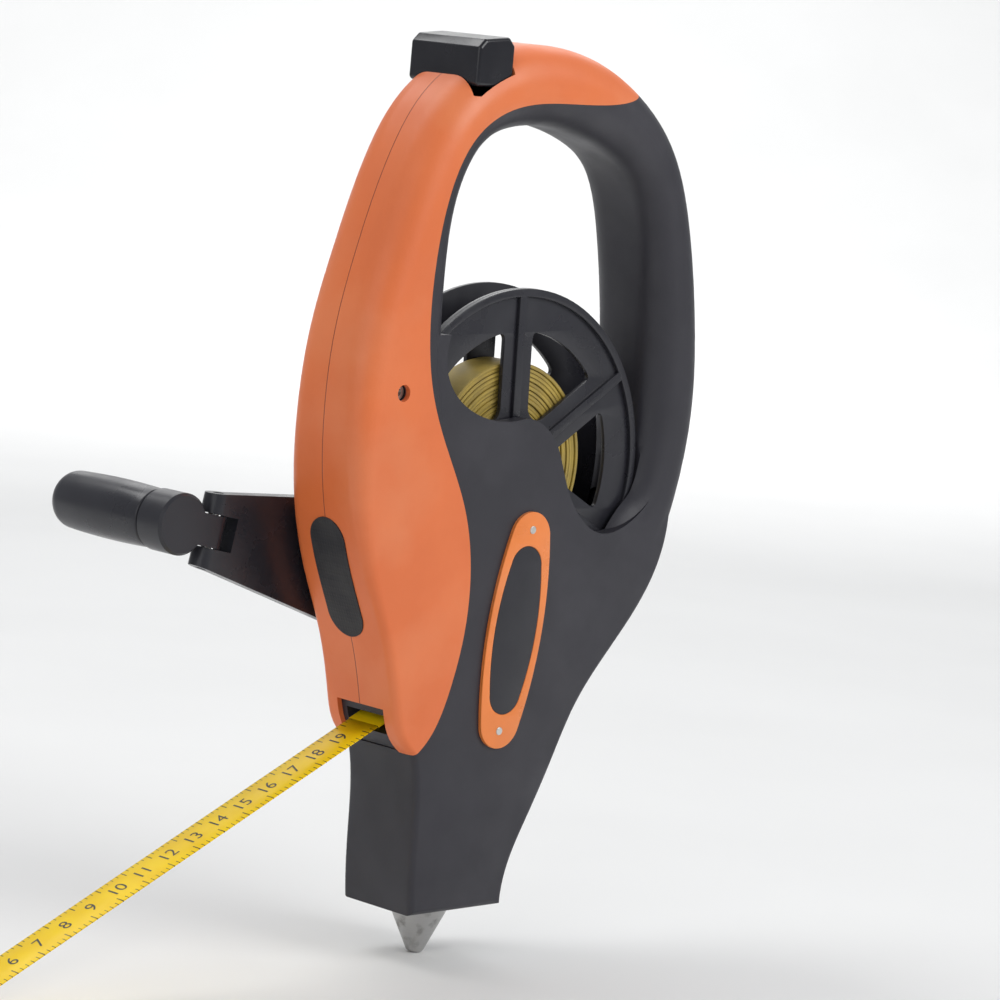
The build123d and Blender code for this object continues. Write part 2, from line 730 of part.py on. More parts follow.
def grip_knuckle():
    """The folding end: a tongue in the arm's fork, a round base and the grip's post."""
    middle = (arm_low + arm_high) / 2
    tongue = Pos(hinge_x() - fold_offset / 2, middle, 0) * Box(fold_offset, arm_width, 2 * tongue_half)
    tongue += Pos(hinge_x(), middle, 0) * Cylinder(arm_width / 2, 2 * tongue_half)
    base = slab(Pos(-crank_throw, 0) * Circle(arm_tip), arm_low, base_high)
    base = chamfer(base.edges().filter_by(GeomType.CIRCLE), 0.8)
    post = slab(Pos(-crank_throw, 0) * Circle(post_radius), base_high, base_high + post_length)
    head = slab(Pos(-crank_throw, 0) * Circle(post_radius + 0.7), base_high + post_length,
                base_high + post_length + 3.0)
    solid = tongue + base + post + head
    solid -= Pos(hinge_x(), middle, 0) * Cylinder(hinge_radius + running_gap, 60.0)
    return place_crank(solid)


def hinge_pin():
    """The pin across the fork, as long as the arm is wide there."""
    middle = (arm_low + arm_high) / 2
    return place_crank(Pos(hinge_x(), middle, 0) * Cylinder(hinge_radius, 2 * pin_reach))


def crank_grip():
    low = base_high + 0.4
    high = low + grip_length
    half = make_face([
        Line((post_radius + running_gap, low), (grip_radius - 0.8, low)),
        Line((grip_radius - 0.8, low), (grip_radius, low + 0.8)),
        ThreePointArc((grip_radius, low + 0.8), (grip_radius + 0.5, (low + high) / 2),
                      (grip_radius, high - grip_dome)),
        ThreePointArc((grip_radius, high - grip_dome), (grip_radius * 0.8, high - grip_dome * 0.32),
                      (grip_radius * 0.35, high)),
        Line((grip_radius * 0.35, high), (0, high)),
        Line((0, high), (0, head_top())),
        Line((0, head_top()), (post_radius + 0.8, head_top())),
        Line((post_radius + 0.8, head_top()), (post_radius + 0.8, base_high + post_length - 0.3)),
        Line((post_radius + 0.8, base_high + post_length - 0.3),
             (post_radius + running_gap, base_high + post_length - 0.3)),
        Line((post_radius + running_gap, base_high + post_length - 0.3), (post_radius + running_gap, low)),
    ])
    return place_crank(Pos(-crank_throw, 0, 0) * revolve(half, Axis.Y))


def head_top():
    return base_high + post_length + 3.3


# ---------------------------------------------------------------- spike and screws

def spike():
    """A blunt steel cone with the shank and collar that the two halves close round."""
    outline = make_face([
        Line((0, -spike_length), (spike_tip * 0.6, -spike_length)),
        ThreePointArc((spike_tip * 0.6, -spike_length), (spike_tip * 1.2, -spike_length + 0.5),
                      (spike_tip * 1.5, -spike_length + 1.4)),
        Line((spike_tip * 1.5, -spike_length + 1.4), (spike_radius, 0)),
        Line((spike_radius, 0), (spike_radius, spike_seat)),
        Line((spike_radius, spike_seat), (shank_radius, spike_seat)),
        Line((shank_radius, spike_seat), (shank_radius, collar_start)),
        Line((shank_radius, collar_start), (collar_radius, collar_start)),
        Line((collar_radius, collar_start), (collar_radius, collar_start + collar_height)),
        Line((collar_radius, collar_start + collar_height), (shank_radius, collar_start + collar_height)),
        Line((shank_radius, collar_start + collar_height), (shank_radius, shank_length)),
        Line((shank_radius, shank_length), (0, shank_length)),
        Line((0, shank_length), (0, -spike_length)),
    ])
    return revolve(Plane.XZ * outline, Axis.Z)


def screw(x, z, seat, tip, facing):
    """A screw along Y: its head sits on seat and its shank runs to tip."""
    head_end = seat + facing * head_height
    shank = disc(x, z, pilot_radius, min(seat, tip), max(seat, tip))
    head = disc(x, z, head_radius, min(seat, head_end), max(seat, head_end))
    socket = disc(x, z, 1.2, min(head_end - facing * 1.2, head_end), max(head_end - facing * 1.2, head_end))
    return shank + head - socket


def frame_screws():
    return Compound(children=[screw(x, z, screw_seat, -9.0, 1) for x, z in boss_places])


def front_screw():
    return screw(*front_screw_at, -front_seat, 8.0, -1)


# ---------------------------------------------------------------- all of it

def build():
    frame = frame_shell()
    guard = guard_shell()
    return {
        "frame_near": near_half(frame),
        "frame_far": far_half(frame),
        "guard_near": near_half(guard),
        "guard_far": far_half(guard),
        "front_pad": front_pad(),
        "badge_plate": badge_plate(),
        "badge_inlay": badge_inlay(),
        "badge_pins": badge_pins(),
        "thumb_button": button_block(0),
        "lock_rod": rod_bar(0) - button_block(0) - pad_block(),
        "lock_pad": pad_block(),
        "button_spring": button_spring(),
        "spool_flange_near": spool_flange_near(),
        "spool_flange_far": spool_flange_far(),
        "spool_core": spool_core(),
        "spool_pinion": spool_pinion(),
        "spool_axle": spool_axle(),
        "tape_coil": tape_coil(),
        "tape_lead": tape_lead(),
        "tape_blade": tape_blade(),
        "guide_roller": guide_roller(),
        "roller_pin": roller_pin(),
        "end_clamp": end_clamp(),
        "end_ring": end_ring(),
        "drive_gear": drive_gear(),
        "crank_bush": crank_bush(),
        "crank_arm": crank_arm(),
        "crank_screw": crank_screw(),
        "crank_cap": crank_cap(),
        "grip_knuckle": grip_knuckle(),
        "hinge_pin": hinge_pin(),
        "crank_grip": crank_grip(),
        "spike": spike(),
        "frame_screws": frame_screws(),
        "front_screw": front_screw(),
    }


os.makedirs("parts", exist_ok=True)
for node, shape in build().items():
    export_step(shape, f"parts/{node}.step")
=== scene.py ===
import math

import bmesh
import bpy
from mathutils import Matrix, Vector


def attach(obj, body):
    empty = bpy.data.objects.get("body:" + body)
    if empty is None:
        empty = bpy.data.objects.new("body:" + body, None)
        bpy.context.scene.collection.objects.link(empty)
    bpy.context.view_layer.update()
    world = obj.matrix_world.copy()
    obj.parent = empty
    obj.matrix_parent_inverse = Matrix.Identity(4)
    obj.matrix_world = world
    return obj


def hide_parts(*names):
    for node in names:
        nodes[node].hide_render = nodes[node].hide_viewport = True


# Looks of a surveyor's tape reel, in metres. +Z is up, -X is the front where the tape leaves
# and +Y is the crank side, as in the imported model.

MM = 0.001

# ---- places of the frame ----
ground_z = -16.0 * MM
spool_at = Vector((14.0, 0, 135.0)) * MM
tape_width = 13.0 * MM
tape_thick = 0.45 * MM
coil_inner = 12.0 * MM
coil_outer = 32.0 * MM

# The free tape's route: the mouth, a point on the long straight run, the touch, the tail.
mouth = Vector((-30.0, 0, 57.5)) * MM
run_point = Vector((-154.3, 0, 0.06)) * MM
touch = Vector((-185.17, 0, -14.2)) * MM
tail = Vector((-219.17, 0, -14.2)) * MM

# Spool flanges
flange_in = 7.0 * MM
flange_wall = 1.6 * MM
rib_rise = 1.2 * MM
spool_radius = 54.5 * MM
spool_bore = 7.0 * MM
window_inner = 17.0 * MM
window_outer = 41.5 * MM
spoke_half = 6.0 * MM
spoke_count = 6
spoke_turn = math.radians(32.0)

# Badge, on the near plate
badge_at = Vector((15.0, -15.0, 86.0)) * MM
badge_lean = math.radians(6.3)
badge_wall = 1.2 * MM
inlay_depth = 0.5 * MM

# Crank grip
crank_at = Vector((14.0, 0, 95.0)) * MM
crank_lean = math.radians(11.5)
crank_throw = 108.0 * MM
grip_low = 29.4 * MM
grip_length = 42.0 * MM
grip_radius = 8.75 * MM
grip_dome = 6.0 * MM
grip_bore = 4.05 * MM

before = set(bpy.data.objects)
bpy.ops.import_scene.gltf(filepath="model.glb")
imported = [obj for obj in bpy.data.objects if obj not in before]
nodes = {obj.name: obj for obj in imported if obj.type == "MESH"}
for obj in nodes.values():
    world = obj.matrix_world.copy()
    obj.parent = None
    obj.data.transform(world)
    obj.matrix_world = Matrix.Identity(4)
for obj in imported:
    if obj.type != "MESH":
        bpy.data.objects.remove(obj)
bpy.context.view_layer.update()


# ---------------------------------------------------------------- materials

def new_material(name, colour, roughness, metallic=0.0):
    """A Principled material with its own node tree, and its shader."""
    material = bpy.data.materials.new(name)
    material.use_nodes = True
    shader = material.node_tree.nodes["Principled BSDF"]
    shader.inputs["Base Color"].default_value = (*colour, 1.0)
    shader.inputs["Roughness"].default_value = roughness
    shader.inputs["Metallic"].default_value = metallic
    return material, shader


def node(material, kind, **values):
    """A new node of the material, with its properties and unlinked inputs set."""
    made = material.node_tree.nodes.new(kind)
    for key, value in values.items():
        if hasattr(made, key):
            setattr(made, key, value)
        else:
            made.inputs[key.replace("_", " ")].default_value = value
    return made


def link(material, source, target):
    material.node_tree.links.new(source, target)


def place(material):
    """The point on the piece, in its own frame, in metres."""
    return node(material, "ShaderNodeTexCoord").outputs["Object"]


def noise(material, scale, detail=3.0, stretch=(1.0, 1.0, 1.0)):
    """Fractal noise over the piece: scale is in features per metre."""
    mapping = node(material, "ShaderNodeMapping")
    mapping.inputs["Scale"].default_value = stretch
    link(material, place(material), mapping.inputs["Vector"])
    texture = node(material, "ShaderNodeTexNoise")
    texture.inputs["Scale"].default_value = scale
    texture.inputs["Detail"].default_value = detail
    link(material, mapping.outputs["Vector"], texture.inputs["Vector"])
    return texture.outputs["Fac"]


def spread(material, value, low, high, start=0.35, end=0.65):
    """Maps a noise value to the range from low to high."""
    ranged = node(material, "ShaderNodeMapRange")
    ranged.inputs["From Min"].default_value = start
    ranged.inputs["From Max"].default_value = end
    ranged.inputs["To Min"].default_value = low
    ranged.inputs["To Max"].default_value = high
    link(material, value, ranged.inputs["Value"])
    return ranged.outputs["Result"]


def blend(material, factor, first, second):
    """A colour that goes from first to second with factor. Each is a colour or a socket."""
    mix = node(material, "ShaderNodeMix", data_type="RGBA")
    link(material, factor, mix.inputs["Factor"])
    for socket, colour in ((mix.inputs[6], first), (mix.inputs[7], second)):
        if isinstance(colour, tuple):
            socket.default_value = (*colour, 1.0)
        else:
            link(material, colour, socket)
    return mix.outputs[2]


def math_node(material, operation, first, second=None):
    made = node(material, "ShaderNodeMath", operation=operation)
    for index, value in enumerate((first, second)):
        if value is None:
            continue
        if isinstance(value, (int, float)):
            made.inputs[index].default_value = value
        else:
            link(material, value, made.inputs[index])
    return made.outputs[0]


def bump(material, shader, height, depth, strength=1.0):
    """Raises the surface by height, from 0 to 1, times depth in metres."""
    made = node(material, "ShaderNodeBump")
    made.inputs["Strength"].default_value = strength
    made.inputs["Distance"].default_value = depth
    link(material, height, made.inputs["Height"])
    link(material, made.outputs["Normal"], shader.inputs["Normal"])


def wear(material):
    """A faint pattern of rubbed patches, from 0 to 0.25."""
    return spread(material, noise(material, 24.0, 6.0), 0.0, 0.25, 0.52, 0.74)


def moulded(name, colour, scuffed, roughness, grain=0.03 * MM, grain_scale=1500.0):
    """Moulded plastic: fine grain, soft blotches of colour, duller rubbed patches."""
    material, shader = new_material(name, colour, roughness)
    shade = tuple(c * 0.86 for c in colour)
    patches = spread(material, noise(material, 38.0, 4.0), 0.0, 1.0)
    worn = blend(material, wear(material), blend(material, patches, colour, shade), scuffed)
    link(material, worn, shader.inputs["Base Color"])
    dull = spread(material, noise(material, 70.0, 6.0), roughness - 0.06, roughness + 0.08)
    link(material, dull, shader.inputs["Roughness"])
    bump(material, shader, noise(material, grain_scale, 2.0), grain, 0.45)
    return material


def orange_guard():
    """The guard's orange plastic, with the parting line of its halves down the front."""
    colour, seam_colour = (0.80, 0.19, 0.055), (0.27, 0.055, 0.018)
    seam_half = 0.16 * MM
    material, shader = new_material("orange_plastic", colour, 0.42)
    parts = node(material, "ShaderNodeSeparateXYZ")
    link(material, place(material), parts.inputs[0])
    off = math_node(material, "ABSOLUTE", parts.outputs["Y"])
    seam = math_node(material, "LESS_THAN", off, seam_half)
    groove = spread(material, off, 0.0, 1.0, 0.0, seam_half * 2)
    patches = spread(material, noise(material, 30.0, 4.0), 0.0, 1.0)
    body = blend(material, patches, colour, (0.74, 0.165, 0.045))
    edged = blend(material, wear(material), body, (0.86, 0.36, 0.18))
    link(material, blend(material, seam, edged, seam_colour), shader.inputs["Base Color"])
    dull = spread(material, noise(material, 60.0, 6.0), 0.36, 0.50)
    link(material, dull, shader.inputs["Roughness"])
    grain = spread(material, noise(material, 1400.0, 2.0), 0.0, 0.12)
    bump(material, shader, math_node(material, "ADD", grain, groove), 0.12 * MM, 0.6)
    return material


def rubber():
    """Soft black rubber with small raised dots."""
    material, shader = new_material("rubber_black", (0.020, 0.020, 0.024), 0.72)
    cells = node(material, "ShaderNodeTexVoronoi")
    cells.inputs["Scale"].default_value = 900.0
    cells.inputs["Randomness"].default_value = 0.12
    link(material, place(material), cells.inputs["Vector"])
    dots = spread(material, cells.outputs["Distance"], 1.0, 0.0, 0.25, 0.5)
    dusty = spread(material, noise(material, 120.0, 4.0), 0.0, 1.0)
    colour = blend(material, dusty, (0.018, 0.018, 0.022), (0.034, 0.033, 0.035))
    link(material, colour, shader.inputs["Base Color"])
    bump(material, shader, dots, 0.12 * MM, 0.5)
    return material


def acetal():
    """Ivory gear plastic with patches of grey grease."""
    material, shader = new_material("acetal_ivory", (0.74, 0.71, 0.62), 0.38)
    grease = spread(material, noise(material, 160.0, 4.0), 0.0, 1.0, 0.5, 0.7)
    colour = blend(material, grease, (0.74, 0.71, 0.62), (0.48, 0.45, 0.38))
    link(material, colour, shader.inputs["Base Color"])
    shine = spread(material, noise(material, 200.0, 3.0), 0.30, 0.46)
    link(material, shine, shader.inputs["Roughness"])
    bump(material, shader, noise(material, 900.0, 2.0), 0.02 * MM, 0.3)
    return material


def turned_metal(name, colour, roughness, dark, line_scale, axis="Z"):
    """Metal with the fine rings that a lathe leaves round an axis, and dull spots."""
    material, shader = new_material(name, colour, roughness, metallic=1.0)
    stretch = tuple(line_scale if letter == axis else 20.0 for letter in "XYZ")
    lines = noise(material, 1.0, 3.0, stretch)
    spots = spread(material, noise(material, 240.0, 5.0), 0.0, 1.0, 0.50, 0.72)
    link(material, blend(material, spots, colour, dark), shader.inputs["Base Color"])
    rough = math_node(material, "ADD", spread(material, lines, roughness - 0.08, roughness + 0.08),
                      math_node(material, "MULTIPLY", spots, 0.18))
    link(material, rough, shader.inputs["Roughness"])
    bump(material, shader, lines, 0.02 * MM, 0.5)
    return material


def tape_film():
    """The yellow tape with its printed scale.

    The texture map holds the distance from the tape's end along U and from its middle
    along V, both in metres.
    """
    yellow, deep, ink = (0.93, 0.64, 0.004), (0.86, 0.55, 0.003), (0.03, 0.028, 0.025)
    material, shader = new_material("tape_yellow", yellow, 0.34)
    shader.inputs["Specular IOR Level"].default_value = 0.22
    uv = node(material, "ShaderNodeUVMap", uv_map="scale")
    parts = node(material, "ShaderNodeSeparateXYZ")
    link(material, uv.outputs["UV"], parts.inputs[0])
    along, across = parts.outputs["X"], parts.outputs["Y"]
    edge = math_node(material, "SUBTRACT", tape_width / 2, math_node(material, "ABSOLUTE", across))
    marks = None
    for pitch, width, length in ((2.0, 0.28, 1.6), (10.0, 0.42, 3.0)):
        shifted = math_node(material, "ADD", along, width * MM / 2)
        step = math_node(material, "FLOORED_MODULO", shifted, pitch * MM)
        line = math_node(material, "LESS_THAN", step, width * MM)
        near_edge = math_node(material, "LESS_THAN", edge, length * MM)
        tick = math_node(material, "MULTIPLY", line, near_edge)
        marks = tick if marks is None else math_node(material, "MAXIMUM", marks, tick)
    smears = spread(material, noise(material, 90.0, 5.0), 0.0, 1.0, 0.4, 0.75)
    ground = blend(material, smears, yellow, deep)
    rubbed = spread(material, noise(material, 300.0), 0.75, 1.0)
    faded = math_node(material, "MULTIPLY", marks, rubbed)
    link(material, blend(material, faded, ground, ink), shader.inputs["Base Color"])
    shine = spread(material, noise(material, 150.0, 4.0), 0.28, 0.42)
    link(material, shine, shader.inputs["Roughness"])
    bump(material, shader, noise(material, 700.0, 2.0), 0.02 * MM, 0.3)
    return material


def tape_edge():
    """The wound tape seen on its edges: dull ochre, a little different from turn to turn."""
    material, shader = new_material("tape_edges", (0.46, 0.32, 0.055), 0.55)
    parts = node(material, "ShaderNodeVectorMath", operation="SUBTRACT")
    link(material, place(material), parts.inputs[0])
    parts.inputs[1].default_value = spool_at
    flat = node(material, "ShaderNodeVectorMath", operation="MULTIPLY")
    link(material, parts.outputs[0], flat.inputs[0])
    flat.inputs[1].default_value = (1.0, 0.0, 1.0)
    radius = node(material, "ShaderNodeVectorMath", operation="LENGTH")
    link(material, flat.outputs[0], radius.inputs[0])
    turns = node(material, "ShaderNodeTexNoise", noise_dimensions="1D")
    turns.inputs["Scale"].default_value = 2200.0
    turns.inputs["Detail"].default_value = 1.0
    link(material, radius.outputs["Value"], turns.inputs["W"])
    streak = spread(material, turns.outputs["Fac"], 0.0, 1.0, 0.35, 0.65)
    dirt = spread(material, noise(material, 130.0, 4.0), 0.0, 1.0, 0.45, 0.75)
    colour = blend(material, streak, (0.50, 0.36, 0.06), (0.34, 0.24, 0.05))
    dirt = math_node(material, "MULTIPLY", dirt, 0.5)
    colour = blend(material, dirt, colour, (0.16, 0.12, 0.05))
    link(material, colour, shader.inputs["Base Color"])
    bump(material, shader, streak, 0.08 * MM, 0.5)
    return material


def ink():
    material, shader = new_material("scale_ink", (0.025, 0.024, 0.022), 0.5)
    tone = spread(material, noise(material, 400.0, 3.0), 0.0, 1.0, 0.4, 0.7)
    colour = blend(material, tone, (0.022, 0.021, 0.02), (0.07, 0.055, 0.02))
    link(material, colour, shader.inputs["Base Color"])
    return material


def floor_paint():
    """A plain pale floor, faintly mottled."""
    material, shader = new_material("floor_pale", (0.80, 0.80, 0.79), 0.85)
    tone = spread(material, noise(material, 6.0, 3.0), 0.0, 1.0)
    link(material, blend(material, tone, (0.81, 0.81, 0.80), (0.79, 0.79, 0.78)),
         shader.inputs["Base Color"])
    return material


black_body = moulded("black_plastic", (0.026, 0.025, 0.033), (0.085, 0.083, 0.095), 0.46)
black_satin = moulded("black_satin", (0.020, 0.020, 0.026), (0.07, 0.07, 0.08), 0.30, 0.015 * MM)
black_gloss = moulded("black_gloss", (0.010, 0.010, 0.014), (0.05, 0.05, 0.06), 0.20, 0.006 * MM)
badge_orange = moulded("badge_orange", (0.90, 0.25, 0.055), (0.95, 0.50, 0.30), 0.30, 0.008 * MM)
badge_black = moulded("badge_black", (0.018, 0.018, 0.024), (0.06, 0.06, 0.07), 0.36, 0.01 * MM)
guard_orange = orange_guard()
pad_rubber = rubber()
gear_plastic = acetal()
spike_metal = turned_metal("steel_turned", (0.50, 0.495, 0.49), 0.40, (0.27, 0.26, 0.25), 2600.0)
pin_metal = turned_metal("steel_bright", (0.60, 0.59, 0.57), 0.30, (0.36, 0.35, 0.33), 2600.0, "Y")
zinc_metal = turned_metal("zinc_plated", (0.66, 0.65, 0.62), 0.34, (0.42, 0.41, 0.38), 900.0, "Y")
tape_yellow = tape_film()
coil_edges = tape_edge()
print_ink = ink()


# ---------------------------------------------------------------- CAD nodes

def smoothing(angle):
    """A modifier's node group: welds the mesh and shades it smooth below the given angle."""
    group = bpy.data.node_groups.new("smooth_shading", "GeometryNodeTree")
    group.interface.new_socket("Geometry", in_out="INPUT", socket_type="NodeSocketGeometry")
    group.interface.new_socket("Geometry", in_out="OUTPUT", socket_type="NodeSocketGeometry")
    start = group.nodes.new("NodeGroupInput")
    end = group.nodes.new("NodeGroupOutput")
    plain = group.nodes.new("GeometryNodeRemoveAttribute")
    plain.inputs["Name"].default_value = "custom_normal"
    weld = group.nodes.new("GeometryNodeMergeByDistance")
    weld.inputs["Distance"].default_value = 1e-6
    faces = group.nodes.new("GeometryNodeSetShadeSmooth")
    bend = group.nodes.new("GeometryNodeInputMeshEdgeAngle")
    gentle = group.nodes.new("FunctionNodeCompare")
    gentle.operation = "LESS_THAN"
    gentle.inputs[1].default_value = angle
    edges = group.nodes.new("GeometryNodeSetShadeSmooth")
    edges.domain = "EDGE"
    links = group.links
    links.new(start.outputs[0], plain.inputs["Geometry"])
    links.new(plain.outputs["Geometry"], weld.inputs["Geometry"])
    links.new(weld.outputs["Geometry"], faces.inputs["Geometry"])
    links.new(faces.outputs["Geometry"], edges.inputs["Geometry"])
    links.new(bend.outputs["Unsigned Angle"], gentle.inputs[0])
    links.new(gentle.outputs["Result"], edges.inputs["Shade Smooth"])
    links.new(edges.outputs["Geometry"], end.inputs[0])
    return group


smooth_group = smoothing(math.radians(28.0))


def dress(name, material, bevel=0.0):
    """Gives a CAD node its material, smooth shading and, if asked, softly broken edges."""
    piece = nodes[name]
    piece.data.materials.clear()
    piece.data.materials.append(material)
    shading = piece.modifiers.new("smooth", "NODES")
    shading.node_group = smooth_group
    if bevel:
        broken = piece.modifiers.new("edges", "BEVEL")
        broken.width = bevel
        broken.segments = 2
        broken.limit_method = "ANGLE"
        broken.angle_limit = math.radians(40.0)
        broken.harden_normals = True


for name, material, *bevel in (
    ("frame_near", black_body),
    ("frame_far", black_body),
    ("guard_near", guard_orange),
    ("guard_far", guard_orange),
    ("front_pad", pad_rubber),
    ("badge_plate", badge_orange),
    ("badge_inlay", badge_black),
    ("badge_pins", zinc_metal),
    ("thumb_button", black_gloss),
    ("lock_rod", gear_plastic),
    ("lock_pad", pad_rubber),
    ("button_spring", pin_metal),
    ("spool_flange_near", black_satin),
    ("spool_flange_far", black_satin),
    ("spool_core", black_satin),
    ("spool_pinion", gear_plastic),
    ("spool_axle", pin_metal),
    ("tape_lead", tape_yellow),
    ("guide_roller", gear_plastic),
    ("roller_pin", pin_metal),
    ("end_clamp", zinc_metal, 0.3 * MM),
    ("end_ring", pin_metal),
    ("drive_gear", gear_plastic),
    ("crank_bush", pin_metal),
    ("crank_arm", black_satin),
    ("crank_screw", zinc_metal),
    ("crank_cap", black_gloss, 0.2 * MM),
    ("grip_knuckle", black_satin),
    ("hinge_pin", pin_metal),
    ("crank_grip", black_satin),
    ("spike", spike_metal),
    ("frame_screws", zinc_metal),
    ("front_screw", zinc_metal),
):
    dress(name, material, *bevel)


# ---------------------------------------------------------------- tape

def finished(name, mesh_data, material, body):
    """An object from a bmesh, with its material, riding on a body."""
    mesh = bpy.data.meshes.new(name)
    mesh_data.to_mesh(mesh)
    mesh_data.free()
    mesh.materials.append(material)
    piece = bpy.data.objects.new(name, mesh)
    bpy.context.scene.collection.objects.link(piece)
    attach(piece, body)
    return piece


def mesh_of(curve):
    """The mesh of a curve or a text."""
    holder = bpy.data.objects.new("outline", curve)
    bpy.context.scene.collection.objects.link(holder)
    bpy.context.view_layer.update()
    evaluated = holder.evaluated_get(bpy.context.evaluated_depsgraph_get())
    mesh = bpy.data.meshes.new_from_object(evaluated)
    bpy.data.objects.remove(holder)
    return mesh


def three_point_arc(first, middle, last, steps=20):
    """Points of the arc through three points of a plane, without its last one."""
    (ax, ay), (bx, by), (cx, cy) = first, middle, last
    d = 2 * (ax * (by - cy) + bx * (cy - ay) + cx * (ay - by))
    a, b, c = ax * ax + ay * ay, bx * bx + by * by, cx * cx + cy * cy
    x = (a * (by - cy) + b * (cy - ay) + c * (ay - by)) / d
    y = (a * (cx - bx) + b * (ax - cx) + c * (bx - ax)) / d
    radius = math.hypot(ax - x, ay - y)
    start = math.atan2(ay - y, ax - x)
    turn = (math.atan2(cy - y, cx - x) - start) % (2 * math.pi)
    through = (math.atan2(by - y, bx - x) - start) % (2 * math.pi)
    if through > turn:
        turn -= 2 * math.pi
    return [(x + radius * math.cos(start + turn * step / steps),
             y + radius * math.sin(start + turn * step / steps)) for step in range(steps)]


def circle(radius, steps=120):
    return [(radius * math.cos(2 * math.pi * step / steps),
             radius * math.sin(2 * math.pi * step / steps)) for step in range(steps)]


def plate_mesh(loops, low, high, soft):
    """A flat plate between two heights, from closed outlines and holes, with softened edges."""
    curve = bpy.data.curves.new("plate", "CURVE")
    curve.dimensions = "2D"
    curve.fill_mode = "BOTH"
    curve.extrude = (high - low) / 2 - soft
    curve.bevel_depth = soft
    curve.bevel_resolution = 2
    curve.offset = -soft
    for loop in loops:
        spline = curve.splines.new("POLY")
        spline.points.add(len(loop) - 1)
        for point, (x, y) in zip(spline.points, loop):
            point.co = (x, y, 0.0, 1.0)
        spline.use_cyclic_u = True
    flat = mesh_of(curve)
    flat.transform(Matrix.Translation((0, 0, (low + high) / 2)))
    return flat


def joined(name, plates, matrix, material, body):
    """One piece from several plates, placed by a matrix."""
    whole = bmesh.new()
    for plate in plates:
        plate.transform(matrix)
        whole.from_mesh(plate)
        bpy.data.meshes.remove(plate)
    bmesh.ops.remove_doubles(whole, verts=whole.verts, dist=1e-6)
    bmesh.ops.recalc_face_normals(whole, faces=whole.faces)
    piece = finished(name, whole, material, body)
    shading = piece.modifiers.new("smooth", "NODES")
    shading.node_group = smooth_group
    return piece


def standing(origin, across, normal, lean=0.0):
    """The matrix of an upright plane at origin: X runs along across and Z along normal."""
    across, normal = Vector(across), Vector(normal)
    up = normal.cross(across)
    turn = Matrix((across, up, normal)).transposed().to_4x4()
    return Matrix.Translation(origin) @ turn @ Matrix.Rotation(lean, 4, "Z")


def window(middle):
    """One opening between two spokes, with rounded corners and a narrow inner end."""
    soft = 2.4 * MM
    half_out = math.radians(180.0 / spoke_count) - math.asin(spoke_half / window_outer)
    half_in = math.radians(180.0 / spoke_count) - math.asin(spoke_half / window_inner)

    def at(radius, angle):
        return Vector((radius * math.cos(middle + angle), radius * math.sin(middle + angle)))

    def corner(before, tip, after):
        return [before.lerp(tip, t / 5).lerp(tip.lerp(after, t / 5), t / 5) for t in range(6)]

    def along(tip, towards, distance):
        return tip + (towards - tip).normalized() * distance

    points = []
    trim = half_out - soft / window_outer
    low_out, low_in = at(window_outer, -half_out), at(window_inner, -half_in)
    high_out, high_in = at(window_outer, half_out), at(window_inner, half_in)
    points += corner(along(low_out, low_in, soft), low_out, at(window_outer, -trim))
    points += [at(window_outer, trim * step / 12) for step in range(-11, 12)]
    points += corner(at(window_outer, trim), high_out, along(high_out, high_in, soft))
    tip = at(window_inner - 0.4 * MM, 0.0)
    points += corner(along(high_in, high_out, soft), high_in, tip)
    points += corner(tip, low_in, along(low_in, low_out, soft))[1:]
    return [tuple(point) for point in points]


def spool_flange(name, replaced, side, across, turn, ribbed):
    """A flange with six wide spokes; the near one has a raised rib on each and a raised rim."""
    pitch = 2 * math.pi / spoke_count
    windows = [window(turn + pitch * (index + 0.5)) for index in range(spoke_count)]
    plates = [plate_mesh([circle(spool_radius), circle(spool_bore, 48)] + windows, 0.0,
                         flange_wall, 0.25 * MM)]
    top = flange_wall + rib_rise
    buried = flange_wall / 2
    if ribbed:
        rim, hub, inset, soft = spool_radius - 2.5 * MM, 13.5 * MM, 0.05 * MM, 0.3 * MM
        plates.append(plate_mesh([circle(spool_radius - inset), circle(rim)], buried, top, soft))
        plates.append(plate_mesh([circle(hub, 64), circle(spool_bore + inset, 48)], buried, top,
                                 soft))
        half, start, stop = 1.5 * MM, hub - 1.0 * MM, rim + 0.8 * MM
        for index in range(spoke_count):
            angle = turn + pitch * index
            c, d = math.cos(angle), math.sin(angle)
            bar = [(start, -half), (stop, -half), (stop, half), (start, half)]
            bar = [(x * c - y * d, x * d + y * c) for x, y in bar]
            plates.append(plate_mesh([bar], buried, top - 0.03 * MM, 0.35 * MM))
    matrix = standing(spool_at + Vector((0, side * flange_in, 0)), (across, 0, 0), (0, side, 0))
    piece = joined(name, plates, matrix, black_satin, "spool")
    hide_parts(replaced)


def lens(half_length, half_width, end_width, end_start):
    """The badge's outline: two long arcs for its sides and two short ones for its ends."""
    w, s = end_width, end_start
    return (three_point_arc((-w, s), (0, half_length), (w, s))
            + three_point_arc((w, s), (half_width, 0), (w, -s))
            + three_point_arc((w, -s), (0, -half_length), (-w, -s))
            + three_point_arc((-w, -s), (-half_width, 0), (-w, s)))


